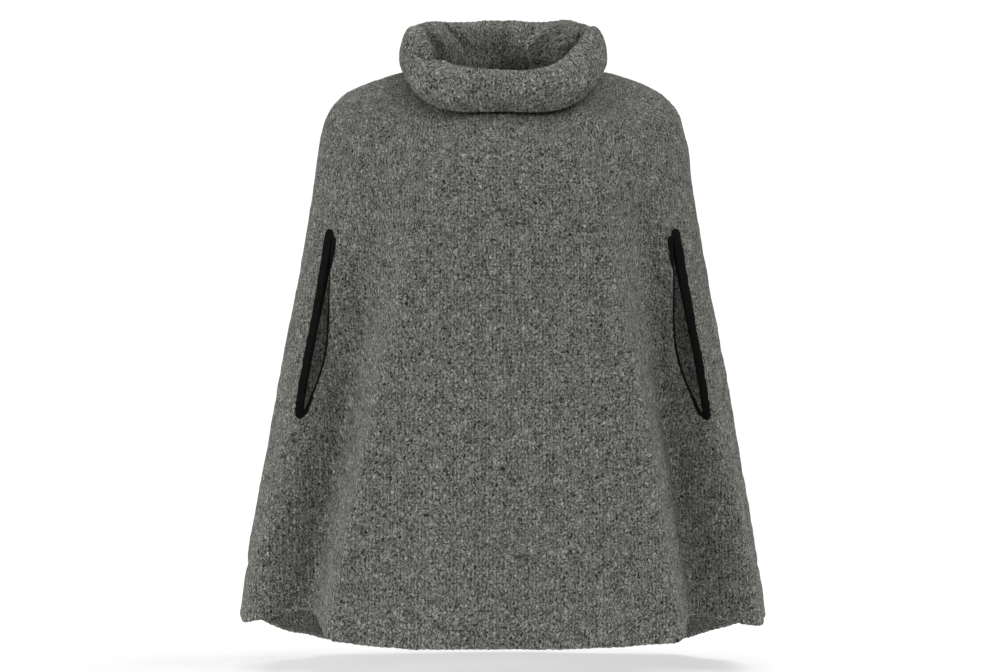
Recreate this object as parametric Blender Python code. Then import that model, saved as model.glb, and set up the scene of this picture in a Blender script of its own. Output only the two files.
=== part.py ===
"""Knitted poncho sweater, worn and hollow: front, back, roll collar and two bound arm slits.

Metres, +Z up, the front faces -Y and the wearer's left is +X. The origin is inside the neck seam,
at the height of the shoulders' neck points, where the wearer's shoulders hold the garment.

Places on the cloth are given by two numbers: an angle round the body, 0 at the centre front,
90 at the +X side, 180 at the centre back, and a run down the side line from the neck seam.
"""

import math

import bpy
import numpy as np

CLOTH = 0.004
SEAM_GAP = 0.0003
SIDE = 90.0

# One row for each level section of the body, from the neck seam down to the hem.
SECTION_COLUMNS = (
    "half_width",
    "front_depth",
    "back_depth",
    "side_z",
    "front_z",
    "back_z",
    "squareness",
    "front_flatness",
)
SECTIONS = np.array(
    [
        (0.097, 0.088, 0.070, 0.010, -0.053, 0.002, 2.00, 4.0),
        (0.118, 0.106, 0.086, 0.006, -0.063, -0.006, 2.00, 3.9),
        (0.143, 0.121, 0.100, 0.000, -0.081, -0.018, 2.00, 3.7),
        (0.184, 0.135, 0.113, -0.013, -0.115, -0.046, 2.00, 3.2),
        (0.211, 0.142, 0.121, -0.028, -0.145, -0.076, 2.05, 2.8),
        (0.228, 0.147, 0.126, -0.051, -0.176, -0.110, 2.10, 2.5),
        (0.237, 0.150, 0.129, -0.081, -0.208, -0.148, 2.15, 2.3),
        (0.2455, 0.152, 0.131, -0.140, -0.254, -0.206, 2.20, 2.1),
        (0.255, 0.154, 0.133, -0.205, -0.305, -0.268, 2.25, 2.0),
        (0.278, 0.159, 0.140, -0.332, -0.405, -0.388, 2.35, 2.0),
        (0.300, 0.166, 0.150, -0.452, -0.502, -0.502, 2.40, 2.0),
        (0.3245, 0.177, 0.164, -0.592, -0.623, -0.642, 2.45, 2.2),
        (0.340, 0.186, 0.176, -0.701, -0.7275, -0.761, 2.50, 2.5),
    ]
)

# One row for each soft fold. It grows from the run start to the run full, where out is its height (a
# trough is below 0) and lift is how far it raises the cloth. Its angle moves as it falls.
FOLD_COLUMNS = ("top_angle", "hem_angle", "half_angle", "start", "full", "out", "lift")
FOLDS = np.array(
    [
        (-23.5, -33.8, 4.5, 0.04, 0.66, 0.0210, 0.0000),
        (28.8, 34.8, 4.1, 0.04, 0.66, 0.0200, 0.0000),
        (-37.5, -52.5, 13.8, 0.00, 0.66, -0.0596, 0.0246),
        (46.7, 50.6, 11.7, 0.00, 0.66, -0.0590, 0.0228),
        (-44.4, -62.5, 7.7, 0.04, 0.66, 0.0220, -0.0048),
        (49.6, 60.0, 7.5, 0.04, 0.66, 0.0220, -0.0059),
        (6.0, 8.0, 6.0, 0.42, 0.80, -0.0050, 0.0000),
        (-12.0, -15.0, 8.0, 0.48, 0.80, -0.0030, 0.0000),
        (122.0, 124.0, 11.0, 0.10, 0.80, -0.0180, -0.0080),
        (140.0, 139.0, 9.0, 0.16, 0.80, 0.0080, -0.0100),
        (160.0, 165.0, 9.0, 0.34, 0.80, -0.0100, 0.0000),
        (-120.0, -124.0, 11.0, 0.12, 0.80, -0.0200, -0.0110),
        (-139.0, -141.0, 9.0, 0.18, 0.80, 0.0090, -0.0080),
        (-163.0, -160.0, 10.0, 0.38, 0.80, -0.0090, 0.0000),
        (180.0, 177.0, 8.0, 0.44, 0.80, 0.0050, 0.0000),
    ]
)

# Hem turn-up: a second layer inside, HEM_TURN tall, and the shallow groove of its stitch line.
HEM_TURN = 0.068
HEM_LAYER = 0.002
HEM_GROOVE = 0.0012
HEM_GROOVE_HALF = 0.008

# Arm slits, in the front panel's side troughs. Heights are at the side line. The edge towards the
# centre front is curved and stands out a little; the other edge is straight and lies back. SLIT_SKEW
# moves the widest place down from the middle.
SLIT_TOP_Z = -0.186
SLIT_BOTTOM_Z = -0.427
SLIT_SIDE_ANGLE = 59.2
SLIT_END_HALF_ANGLE = 1.2
SLIT_MID_HALF_ANGLE = 3.0
SLIT_BESIDE_ANGLE = 4.3
SLIT_LIFT = 0.003
SLIT_LIFT_HALF_ANGLE = 9.0
SLIT_SKEW = 1.45

BINDING = 0.0012
BINDING_GAP = 0.0004
BINDING_STAND_OFF = 0.0030
BINDING_BEND = 1.4

# How far a binding laps over its slit's edges: outside, beside the side line, at the ends and
# beside the centre front (its end and its middle), and inside.
BINDING_LAP_SIDE = 0.0125
BINDING_LAP_END = 0.0100
BINDING_LAP_FRONT_END = 0.0060
BINDING_LAP_FRONT_MIDDLE = 0.0020
BINDING_LAP_INSIDE = 0.0090

# The roll collar's cloth, from the neck seam up inside, over the roll and down outside, as
# distances out from and up from the seam at the centre front, at the sides and at the centre back.
COLLAR_COLUMNS = ("front_out", "front_up", "side_out", "side_up", "back_out", "back_up")
COLLAR_PATH = np.array(
    [
        (0.000, 0.000, 0.000, 0.000, 0.000, 0.000),
        (-0.004, 0.004, -0.004, 0.004, -0.004, 0.005),
        (-0.006, 0.014, -0.003, 0.016, -0.006, 0.022),
        (-0.005, 0.027, 0.001, 0.031, -0.005, 0.042),
        (-0.002, 0.039, 0.008, 0.044, -0.002, 0.060),
        (0.003, 0.048, 0.014, 0.052, 0.004, 0.072),
        (0.010, 0.052, 0.021, 0.056, 0.012, 0.078),
        (0.018, 0.050, 0.028, 0.050, 0.021, 0.074),
        (0.026, 0.042, 0.033, 0.037, 0.027, 0.061),
        (0.030, 0.030, 0.036, 0.022, 0.029, 0.043),
        (0.028, 0.016, 0.036, 0.009, 0.028, 0.023),
        (0.021, 0.002, 0.034, -0.002, 0.024, 0.001),
    ]
)

# The roll's outer layer stands out and sags at its two front corners.
COLLAR_CORNER_OUT = 0.013
COLLAR_CORNER_SAG = 0.003
COLLAR_CORNER_FROM = 0.45

# Shares of the collar's cloth, from its seam to its free edge: the rim of the roll, and the middle
# of the inner layer, each with how far a fold reaches from there.
COLLAR_RIM = 0.50
COLLAR_RIM_REACH = 0.24
COLLAR_INNER = 0.25
COLLAR_INNER_REACH = 0.13

# One row for each soft fold of the collar: where it is, how far the roll's rim drops (below 0, how far it
# rises), and how far the inner layer bulges into the neck (below 0, how far it is pressed back).
COLLAR_FOLD_COLUMNS = ("angle", "half_angle", "rim_drop", "bulge")
COLLAR_FOLDS = np.array(
    [
        (-57.0, 13.0, 0.020, 0.000),
        (126.0, 17.0, -0.004, 0.037),
        (92.0, 13.0, 0.003, -0.004),
        (68.0, 13.0, 0.002, -0.003),
        (-92.0, 11.0, 0.003, 0.000),
        (-128.0, 17.0, -0.004, 0.009),
        (160.0, 14.0, 0.002, 0.004),
    ]
)

WOOL = ("grey_wool", (0.118, 0.117, 0.107), 0.95)
TAPE = ("black_tape", (0.011, 0.011, 0.012), 0.80)


def clear_scene():
    for thing in list(bpy.data.objects):
        bpy.data.objects.remove(thing, do_unlink=True)


def material(finish):
    name, colour, roughness = finish
    made = bpy.data.materials.get(name) or bpy.data.materials.new(name)
    made.use_nodes = True
    shader = made.node_tree.nodes["Principled BSDF"]
    shader.inputs["Base Color"].default_value = (*colour, 1.0)
    shader.inputs["Roughness"].default_value = roughness
    shader.inputs["Metallic"].default_value = 0.0
    return made


def through(knots, values, wanted):
    """A smooth curve through (knot, value) pairs: cubic pieces that share their slopes."""
    slopes = np.gradient(values, knots, axis=0)
    cell = np.clip(np.searchsorted(knots, wanted, side="right") - 1, 0, len(knots) - 2)
    width = knots[cell + 1] - knots[cell]
    part = (wanted - knots[cell]) / width
    start = values[cell] * (1 + 2 * part) * (1 - part) ** 2 + slopes[cell] * width * part * (1 - part) ** 2
    end = values[cell + 1] * part**2 * (3 - 2 * part) + slopes[cell + 1] * width * part**2 * (part - 1)
    return start + end


def unit(vectors):
    return vectors / np.linalg.norm(vectors, axis=-1, keepdims=True)


def bell(distance):
    """1 at 0, falling smoothly away on both sides."""
    return np.exp(-(distance**2))


def ease(part):
    """0 up to 0, 1 from 1 on, and a smooth rise between."""
    part = np.clip(part, 0.0, 1.0)
    return part * part * (3.0 - 2.0 * part)


SECTION = {name: SECTIONS[:, place] for place, name in enumerate(SECTION_COLUMNS)}
SIDE_STEPS = np.hypot(np.diff(SECTION["half_width"]), np.diff(SECTION["side_z"]))
RUNS = np.concatenate([[0.0], np.cumsum(SIDE_STEPS)])
HEM_RUN = RUNS[-1]
SLIT_TOP = float(np.interp(-SLIT_TOP_Z, -SECTION["side_z"], RUNS))
SLIT_BOTTOM = float(np.interp(-SLIT_BOTTOM_Z, -SECTION["side_z"], RUNS))


def turned(angle):
    """An angle brought between -180 and 180."""
    return (angle + 180.0) % 360.0 - 180.0


def section_points(angle, run):
    """The body without folds: x = w sin(a)^(2/n) and y = -d cos(a)^(2/n), for a section's half width w,
    depth d and squareness n. Its z goes from its side height to its back height by cos(a)^2, and to its
    front height by 1 - |sin(a)|^f, for a front flatness f."""
    size = {name: through(RUNS, SECTION[name], run) for name in SECTION_COLUMNS}
    sine, cosine = np.sin(np.radians(angle)), np.cos(np.radians(angle))
    power = 2.0 / size["squareness"]
    faces_front = cosine > 0.0
    depth = np.where(faces_front, size["front_depth"], size["back_depth"])
    end_z = np.where(faces_front, size["front_z"], size["back_z"])
    x = size["half_width"] * np.sign(sine) * np.abs(sine) ** power
    y = -depth * np.sign(cosine) * np.abs(cosine) ** power
    share = np.where(faces_front, 1.0 - np.abs(sine) ** size["front_flatness"], cosine**2)
    z = size["side_z"] + (end_z - size["side_z"]) * share
    return np.stack([x, y, z], axis=-1)


def slit_part(run):
    """How far down an arm slit a run is, from 0 at its top to 1 at its bottom."""
    return np.clip((run - SLIT_TOP) / (SLIT_BOTTOM - SLIT_TOP), 0.0, 1.0)


def slit_bell(run):
    """0 at and beyond an arm slit's ends, 1 at its widest place."""
    return np.sin(np.pi * slit_part(run) ** SLIT_SKEW)


def slit_half_gap(run):
    return SLIT_END_HALF_ANGLE + (SLIT_MID_HALF_ANGLE - SLIT_END_HALF_ANGLE) * slit_bell(run)


def body_points(angle, run):
    """The cloth's outer face: the sections, moved out and up by the folds and beside the slits."""
    angle, run = np.broadcast_arrays(np.asarray(angle, float), np.asarray(run, float))
    points = section_points(angle, run)
    across = section_points(angle + 0.5, run) - section_points(angle - 0.5, run)
    level_out = unit(np.stack([across[..., 1], -across[..., 0], 0.0 * run], axis=-1))
    down = run / HEM_RUN
    out = -HEM_GROOVE * bell((run - (HEM_RUN - HEM_TURN)) / HEM_GROOVE_HALF)
    lift = 0.0 * run
    for row in FOLDS:
        fold = dict(zip(FOLD_COLUMNS, row))
        centre = fold["top_angle"] + (fold["hem_angle"] - fold["top_angle"]) * down
        shape = bell(turned(angle - centre) / fold["half_angle"])
        grown = ease((run - fold["start"]) / (fold["full"] - fold["start"]))
        out = out + fold["out"] * grown * shape
        lift = lift + fold["lift"] * grown**3 * shape
    beside = np.abs(angle) - SLIT_SIDE_ANGLE + slit_half_gap(run)
    slit_side = -np.tanh(beside / SLIT_END_HALF_ANGLE) * bell(beside / SLIT_LIFT_HALF_ANGLE)
    out = out + SLIT_LIFT * slit_bell(run) * slit_side
    points = points + level_out * out[..., None]
    points[..., 2] += lift
    return points


def body_outward(angle, run):
    """Unit vectors square to the cloth, from its slopes across and down."""
    run = np.clip(run, 0.001, HEM_RUN - 0.001)
    across = body_points(angle + 0.4, run) - body_points(angle - 0.4, run)
    down = body_points(angle, run + 0.001) - body_points(angle, run - 0.001)
    return unit(np.cross(down, across))


def body_wall(angle, run, side_of_seam):
    """Outer and inner points of a panel's wall. At the side lines it stops half a seam gap short."""
    outer = body_points(angle, run)
    outward = body_outward(angle, run)
    at_seam = np.isclose(np.abs(turned(angle)), SIDE)
    outward[at_seam, 1] = 0.0
    outward = unit(outward)
    layer = HEM_LAYER * ease((run - (HEM_RUN - HEM_TURN)) / HEM_GROOVE_HALF)
    inner = outer - outward * (CLOTH + layer)[..., None]
    for points in (outer, inner):
        points[at_seam, 1] = side_of_seam * SEAM_GAP / 2
    return outer, inner


def smooth_object(name, finish, points, faces):
    mesh = bpy.data.meshes.new(name)
    mesh.from_pydata(points.tolist(), [], faces.tolist())
    mesh.materials.append(material(finish))
    mesh.shade_smooth()
    mesh.set_sharp_from_angle(angle=math.radians(50))
    made = bpy.data.objects.new(name, mesh)
    bpy.context.scene.collection.objects.link(made)


def wall_object(name, finish, outer, inner, kept=None, closed_round=False):
    """A closed wall between two grids of points (rows down, columns round), with every open edge rimmed.
    kept says which cells have cloth, and closed_round joins the last column to the first."""
    rows, columns = outer.shape[:2]
    place = np.arange(rows * columns).reshape(rows, columns)
    after = np.roll(place, -1, axis=1) if closed_round else place[:, 1:]
    before = place if closed_round else place[:, :-1]
    cells = np.stack([before[:-1], before[1:], after[1:], after[:-1]], axis=-1)
    cells = cells.reshape(-1, 4) if kept is None else cells[kept]
    edges = np.concatenate([np.roll(cells, -turn, axis=1)[:, :2] for turn in range(4)]).tolist()
    taken = {tuple(edge) for edge in edges}
    open_edges = np.array([edge for edge in edges if (edge[1], edge[0]) not in taken])
    behind = rows * columns
    rim = np.concatenate([open_edges[:, ::-1], open_edges + behind], axis=1)
    faces = np.concatenate([cells, cells[:, ::-1] + behind, rim])
    used, faces = np.unique(faces, return_inverse=True)
    points = np.concatenate([outer.reshape(-1, 3), inner.reshape(-1, 3)])
    smooth_object(name, finish, points[used], faces.reshape(-1, 4))


def front_grid():
    """Angle and run of every point of the front, and the columns of the two slits' cells. A slit's edges
    are a pair of columns, which stand apart by its width, with a column a binding's lap beyond each."""
    yoke = np.linspace(0.0, SLIT_TOP, 12)
    beside_slit = np.linspace(SLIT_TOP, SLIT_BOTTOM, 13)
    below = np.linspace(SLIT_BOTTOM, HEM_RUN - HEM_TURN, 7)
    hem = np.linspace(HEM_RUN - HEM_TURN, HEM_RUN, 4)
    rows = np.concatenate([yoke, beside_slit[1:], below[1:], hem[1:]])[:, None]
    side_edge = SLIT_SIDE_ANGLE + 0.0 * rows
    front_edge = side_edge - 2.0 * slit_half_gap(rows)
    inner_end = front_edge - SLIT_BESIDE_ANGLE
    outer_end = side_edge + SLIT_BESIDE_ANGLE
    inner = inner_end * np.linspace(0.0, 1.0, 19)
    outer = outer_end + (SIDE - outer_end) * np.linspace(0.0, 1.0, 8)
    half = np.concatenate([inner, front_edge, side_edge, outer], axis=1)
    angle = np.concatenate([-half[:, :0:-1], half], axis=1)
    run = np.repeat(rows, angle.shape[1], axis=1)
    right_cell = half.shape[1] - 1 + inner.shape[1]
    left_cell = angle.shape[1] - 2 - right_cell
    return angle, run, left_cell, right_cell


def make_front():
    """Builds the front and gives back its wall's points and the slits' rows and columns."""
    angle, run, left_cell, right_cell = front_grid()
    outer, inner = body_wall(angle, run, -1)
    kept = np.ones((angle.shape[0] - 1, angle.shape[1] - 1), bool)
    in_slit = (run[:-1, 0] > SLIT_TOP - 1e-6) & (run[1:, 0] < SLIT_BOTTOM + 1e-6)
    kept[in_slit, left_cell] = False
    kept[in_slit, right_cell] = False
    wall_object("front", WOOL, outer, inner, kept)
    return outer, inner, np.flatnonzero(in_slit), left_cell, right_cell


def make_back():
    above_hem = np.linspace(0.0, HEM_RUN - HEM_TURN, 24)
    hem = np.linspace(HEM_RUN - HEM_TURN, HEM_RUN, 4)
    columns = np.linspace(SIDE, 360.0 - SIDE, 37)
    angle, run = np.meshgrid(columns, np.concatenate([above_hem, hem[1:]]))
    outer, inner = body_wall(angle, run, 1)
    wall_object("back", WOOL, outer, inner)


def collar_middle(angle, along):
    """The middle of the collar's cloth. along is 0 at the seam, 1 at the free edge outside. The side path
    gives way to the front one by 1 - sin(a)^4 and to the back one by cos(a)^2. The folds move that down
    or inwards, and the roll sags at its front corners."""
    seam = body_points(angle, 0.0 * angle) - body_outward(angle, 0.0 * angle) * CLOTH / 2
    knots = np.linspace(0.0, 1.0, len(COLLAR_PATH))
    path = {name: through(knots, COLLAR_PATH[:, place], along) for place, name in enumerate(COLLAR_COLUMNS)}
    cosine, sine = np.cos(np.radians(angle)), np.sin(np.radians(angle))
    front = np.where(cosine > 0.0, 1.0 - sine**4, 0.0)
    back = np.where(cosine > 0.0, 0.0, cosine**2)
    side = 1.0 - front - back
    out = front * path["front_out"] + side * path["side_out"] + back * path["back_out"]
    up = front * path["front_up"] + side * path["side_up"] + back * path["back_up"]
    standing = ease((along - COLLAR_CORNER_FROM) / (1.0 - COLLAR_CORNER_FROM))
    at_corner = np.where(cosine > 0.0, (2.0 * sine * cosine) ** 2, 0.0)
    out = out + COLLAR_CORNER_OUT * at_corner * standing
    up = up - COLLAR_CORNER_SAG * at_corner * standing
    for row in COLLAR_FOLDS:
        fold = dict(zip(COLLAR_FOLD_COLUMNS, row))
        shape = bell(turned(angle - fold["angle"]) / fold["half_angle"])
        out = out - fold["bulge"] * shape * bell((along - COLLAR_INNER) / COLLAR_INNER_REACH)
        up = up - fold["rim_drop"] * shape * bell((along - COLLAR_RIM) / COLLAR_RIM_REACH)
    away = unit(np.stack([sine, -cosine, 0.0 * sine], axis=-1))
    points = seam + away * out[..., None]
    points[..., 2] += up
    return points


def make_collar():
    columns, rows = 48, 20
    angle, along = np.meshgrid(np.arange(columns) * 360.0 / columns, np.linspace(0.0, 1.0, rows))
    middle = collar_middle(angle, along)
    round_step = np.roll(middle, -1, axis=1) - np.roll(middle, 1, axis=1)
    square = unit(np.cross(round_step, np.gradient(middle, axis=0)))
    at_seam, below_seam = body_points(angle[0], 0.0), body_points(angle[0], 0.001)
    square[0] = body_outward(angle[0], 0.0 * angle[0])
    middle[0] += unit(at_seam - below_seam) * SEAM_GAP * 1.3
    outside = middle + square * CLOTH / 2
    inside = middle - square * CLOTH / 2
    wall_object("roll_collar", WOOL, outside[::-1], inside[::-1], closed_round=True)


def make_binding(name, outer, inner, slit_rows, cell, towards_front):
    """A folded tape along the slit's edges: a U-shaped section over the edge of the wall. Each section is
    placed by the wall's own points at the edge and by the directions to the next points, away from it.
    towards_front is -1 where lower columns are nearer the centre front, else 1."""
    first, last = slit_rows[0], slit_rows[-1] + 1
    near_edge = [(row, cell, cell, 0, -1) for row in range(first, last + 1)]
    far_edge = [(row, cell + 1, cell + 1, 0, 1) for row in range(last, first - 1, -1)]
    near_edge[0] = (first, cell, cell, -1, -1)
    near_edge[-1] = (last, cell, cell, 1, -1)
    far_edge[0] = (last, cell + 1, cell + 1, 1, 1)
    far_edge[-1] = (first, cell + 1, cell + 1, -1, 1)
    bottom_end = [(last, cell, cell + 1, 1, 0)]
    top_end = [(first, cell, cell + 1, -1, 0)]
    gap, full = BINDING_GAP, BINDING_GAP + BINDING
    sections = []
    for row, left, right, down, across in near_edge + bottom_end + far_edge + top_end:
        edge_out = (outer[row, left] + outer[row, right]) / 2
        edge_in = (inner[row, left] + inner[row, right]) / 2
        lengthways = (outer[row + down, left] + outer[row + down, right]) / 2 - edge_out
        sideways = outer[row, left + across] - outer[row, left]
        away = sum(unit(step) for step, taken in ((lengthways, down), (sideways, across)) if taken)
        away = unit(away)
        square = unit(edge_out - edge_in)
        if across == towards_front:
            middle_part = math.sin(math.pi * (row - first) / (last - first))
            lap = BINDING_LAP_FRONT_END + (BINDING_LAP_FRONT_MIDDLE - BINDING_LAP_FRONT_END) * middle_part
        else:
            lap = BINDING_LAP_SIDE if across else BINDING_LAP_END
        lap_out = edge_out + away * lap + square * BINDING_STAND_OFF
        lap_in = edge_in + away * BINDING_LAP_INSIDE - square * BINDING_STAND_OFF
        corner_out = (square - away) * full * BINDING_BEND / 2
        corner_in = -(square + away) * full * BINDING_BEND / 2
        sections.append(
            [
                lap_out + square * full,
                edge_out + square * full,
                edge_out + corner_out,
                (edge_out + edge_in) / 2 - away * full,
                edge_in + corner_in,
                edge_in - square * full,
                lap_in - square * full,
                lap_in - square * gap,
                edge_in - (away + square) * gap,
                edge_out - (away - square) * gap,
                lap_out + square * gap,
            ]
        )
    points = np.array(sections)
    place = np.arange(points[..., 0].size).reshape(points.shape[:2])
    ahead, beside = np.roll(place, -1, axis=0), np.roll(place, -1, axis=1)
    faces = np.stack([place, ahead, np.roll(ahead, -1, axis=1), beside], axis=-1)
    smooth_object(name, TAPE, points.reshape(-1, 3), faces.reshape(-1, 4))


clear_scene()
outer, inner, slit_rows, left_cell, right_cell = make_front()
make_back()
make_collar()
make_binding("slit_binding_left", outer, inner, slit_rows, right_cell, -1)
make_binding("slit_binding_right", outer, inner, slit_rows, left_cell, 1)
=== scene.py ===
"""Knitted poncho sweater in felted grey heather wool, worn over a body that isn't there.

Metres, +Z up, the front faces -Y. A place on the body's cloth is an angle round it, 0 at the centre
front and 180 at the centre back, and a run down the side line from the neck seam to the hem. Each
level section is a squared-off oval, x = w sin(a)^(2/n) and y = -d cos(a)^(2/n), whose height goes
smoothly from the side's to the front's and the back's. Soft folds, each a bell across and a slow rise
down, move it out and lift the hem. The roll collar follows one path at the front, one at the sides and
one at the back, blended by the angle. On these forms the wool stands up in wales, nubs and slow
unevenness, which are worked out from lengths measured along the cloth.
"""

import bpy
import numpy as np
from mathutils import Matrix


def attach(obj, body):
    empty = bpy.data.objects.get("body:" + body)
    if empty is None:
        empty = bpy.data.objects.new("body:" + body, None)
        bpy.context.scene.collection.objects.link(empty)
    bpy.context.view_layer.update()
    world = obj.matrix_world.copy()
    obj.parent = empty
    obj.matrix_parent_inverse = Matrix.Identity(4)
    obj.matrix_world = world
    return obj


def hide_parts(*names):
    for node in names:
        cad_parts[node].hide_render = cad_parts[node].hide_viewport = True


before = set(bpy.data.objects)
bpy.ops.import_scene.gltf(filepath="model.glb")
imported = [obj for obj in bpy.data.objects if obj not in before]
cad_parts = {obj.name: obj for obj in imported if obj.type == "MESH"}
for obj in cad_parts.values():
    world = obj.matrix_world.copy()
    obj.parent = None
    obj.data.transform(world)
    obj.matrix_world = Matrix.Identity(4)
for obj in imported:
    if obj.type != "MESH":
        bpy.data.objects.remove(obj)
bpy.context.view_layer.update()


# ---------------------------------------------------------------------------------------- front
# One A-shaped panel, knitted in thick heather wool and felted. It hangs in two deep side troughs, with
# an arm slit on the outer side of each, and its hem is turned up once and caught with a hidden stitch.

CLOTH = 0.004
SEAM_GAP = 0.0003
SIDE = 90.0
FRONT_SEED = 11

SECTION_COLUMNS = (
    "half_width",
    "front_depth",
    "back_depth",
    "side_z",
    "front_z",
    "back_z",
    "squareness",
    "front_flatness",
)
SECTIONS = (
    (0.097, 0.088, 0.070, 0.010, -0.053, 0.002, 2.00, 4.0),
    (0.118, 0.106, 0.086, 0.006, -0.063, -0.006, 2.00, 3.9),
    (0.143, 0.121, 0.100, 0.000, -0.081, -0.018, 2.00, 3.7),
    (0.184, 0.135, 0.113, -0.013, -0.115, -0.046, 2.00, 3.2),
    (0.211, 0.142, 0.121, -0.028, -0.145, -0.076, 2.05, 2.8),
    (0.228, 0.147, 0.126, -0.051, -0.176, -0.110, 2.10, 2.5),
    (0.237, 0.150, 0.129, -0.081, -0.208, -0.148, 2.15, 2.3),
    (0.2455, 0.152, 0.131, -0.140, -0.254, -0.206, 2.20, 2.1),
    (0.255, 0.154, 0.133, -0.205, -0.305, -0.268, 2.25, 2.0),
    (0.278, 0.159, 0.140, -0.332, -0.405, -0.388, 2.35, 2.0),
    (0.300, 0.166, 0.150, -0.452, -0.502, -0.502, 2.40, 2.0),
    (0.3245, 0.177, 0.164, -0.592, -0.623, -0.642, 2.45, 2.2),
    (0.340, 0.186, 0.176, -0.701, -0.7275, -0.761, 2.50, 2.5),
)

# A fold goes from one angle at the neck seam to another at the hem, and grows from the run start to the
# run full. out and lift are how far it moves the cloth there.
FOLD_COLUMNS = ("top_angle", "hem_angle", "half_angle", "start", "full", "out", "lift")
FOLDS = (
    (-23.5, -33.8, 4.5, 0.04, 0.66, 0.0210, 0.0000),
    (28.8, 34.8, 4.1, 0.04, 0.66, 0.0200, 0.0000),
    (-37.5, -52.5, 13.8, 0.00, 0.66, -0.0596, 0.0222),
    (46.7, 50.6, 11.7, 0.00, 0.66, -0.0590, 0.0190),
    (-44.4, -67.0, 7.7, 0.04, 0.66, 0.0220, -0.0035),
    (49.6, 65.0, 7.5, 0.04, 0.66, 0.0220, -0.0040),
    (6.0, 8.0, 6.0, 0.42, 0.80, -0.0050, 0.0000),
    (-12.0, -15.0, 8.0, 0.48, 0.80, -0.0030, 0.0000),
    (112.0, 112.0, 9.0, 0.30, 0.80, 0.0000, -0.0060),
    (122.0, 124.0, 11.0, 0.10, 0.80, -0.0180, -0.0095),
    (140.0, 139.0, 9.0, 0.16, 0.80, 0.0080, -0.0105),
    (160.0, 165.0, 9.0, 0.34, 0.80, -0.0100, 0.0000),
    (-112.0, -112.0, 9.0, 0.30, 0.80, 0.0000, -0.0060),
    (-120.0, -124.0, 11.0, 0.12, 0.80, -0.0200, -0.0125),
    (-139.0, -141.0, 9.0, 0.18, 0.80, 0.0090, -0.0090),
    (-163.0, -160.0, 10.0, 0.38, 0.80, -0.0090, 0.0000),
    (180.0, 177.0, 8.0, 0.44, 0.80, 0.0050, 0.0000),
)

HEM_TURN = 0.068
HEM_LAYER = 0.002
HEM_GROOVE = 0.0012
HEM_GROOVE_HALF = 0.008
HEM_EDGE = (CLOTH + HEM_LAYER) / 2
HEM_STITCH_DIP, HEM_STITCH_HALF, HEM_STITCH_CELL = 0.0009, 0.004, 0.012
# The hidden face's last row is drawn up by one share, and the row after it out to the hem's round edge.
HEM_HIDDEN_UP, HEM_HIDDEN_OUT = 0.3, 0.6

# An arm slit, in heights and in degrees round the body. A skew over 1 makes it widest below its middle.
SLIT_TOP_Z = -0.186
SLIT_BOTTOM_Z = -0.427
SLIT_SIDE_ANGLE = 59.2
SLIT_END_HALF_ANGLE = 0.5
SLIT_MID_HALF_ANGLE = 3.1
SLIT_LIFT_EDGE = 1.2
SLIT_LIFT = 0.003
SLIT_LIFT_HALF_ANGLE = 9.0
SLIT_SKEW = 1.25
SLIT_BOW = 0.8


def through(knots, values, wanted):
    """A smooth curve through (knot, value) pairs: cubic pieces that share their slopes."""
    slopes = np.gradient(values, knots, axis=0)
    cell = np.clip(np.searchsorted(knots, wanted, side="right") - 1, 0, len(knots) - 2)
    width = knots[cell + 1] - knots[cell]
    part = (wanted - knots[cell]) / width
    start = values[cell] * (1 + 2 * part) * (1 - part) ** 2 + slopes[cell] * width * part * (1 - part) ** 2
    end = values[cell + 1] * part**2 * (3 - 2 * part) + slopes[cell + 1] * width * part**2 * (part - 1)
    return start + end


def unit(vectors):
    """Each vector over its own length."""
    return vectors / np.linalg.norm(vectors, axis=-1, keepdims=True)


def bell(distance):
    """1 at no distance, falling to 0 on both sides as e to the minus distance squared."""
    return np.exp(-(distance**2))


def ease(part):
    """0 up to 0, 1 from 1 on, and between them three squares less two cubes."""
    part = np.clip(part, 0.0, 1.0)
    return part * part * (3.0 - 2.0 * part)


SECTION = {name: np.array(column) for name, column in zip(SECTION_COLUMNS, zip(*SECTIONS))}
SIDE_STEPS = np.hypot(np.diff(SECTION["half_width"]), np.diff(SECTION["side_z"]))
RUNS = np.concatenate([[0.0], np.cumsum(SIDE_STEPS)])
HEM_RUN = RUNS[-1]
TURN_RUN = HEM_RUN - HEM_TURN
SLIT_TOP = float(np.interp(-SLIT_TOP_Z, -SECTION["side_z"], RUNS))
SLIT_BOTTOM = float(np.interp(-SLIT_BOTTOM_Z, -SECTION["side_z"], RUNS))


def turned(angle):
    """An angle brought between -180 and 180."""
    return (angle + 180.0) % 360.0 - 180.0


# Slopes are taken over these half steps, in degrees and metres.
SECTION_STEP, OUTWARD_STEP, RUN_STEP = 0.5, 0.4, 0.001


def section_points(angle, run):
    """Points of the squared-off ovals. The height goes from the side's to the front's by 1 less a power
    of the sine, and to the back's by the cosine squared."""
    size = {name: through(RUNS, SECTION[name], run) for name in SECTION_COLUMNS}
    sine, cosine = np.sin(np.radians(angle)), np.cos(np.radians(angle))
    power = 2.0 / size["squareness"]
    faces_front = cosine > 0.0
    depth = np.where(faces_front, size["front_depth"], size["back_depth"])
    end_z = np.where(faces_front, size["front_z"], size["back_z"])
    x = size["half_width"] * np.sign(sine) * np.abs(sine) ** power
    y = -depth * np.sign(cosine) * np.abs(cosine) ** power
    share = np.where(faces_front, 1.0 - np.abs(sine) ** size["front_flatness"], cosine**2)
    z = size["side_z"] + (end_z - size["side_z"]) * share
    return np.stack([x, y, z], axis=-1)


def slit_part(run):
    """The share of an arm slit's length down to a run, from 0 at its top to 1 at its bottom."""
    return np.clip((run - SLIT_TOP) / (SLIT_BOTTOM - SLIT_TOP), 0.0, 1.0)


def slit_bell(run):
    """0 at and beyond an arm slit's ends and 1 at its widest place, as a skewed half sine."""
    return np.sin(np.pi * slit_part(run) ** SLIT_SKEW)


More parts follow.
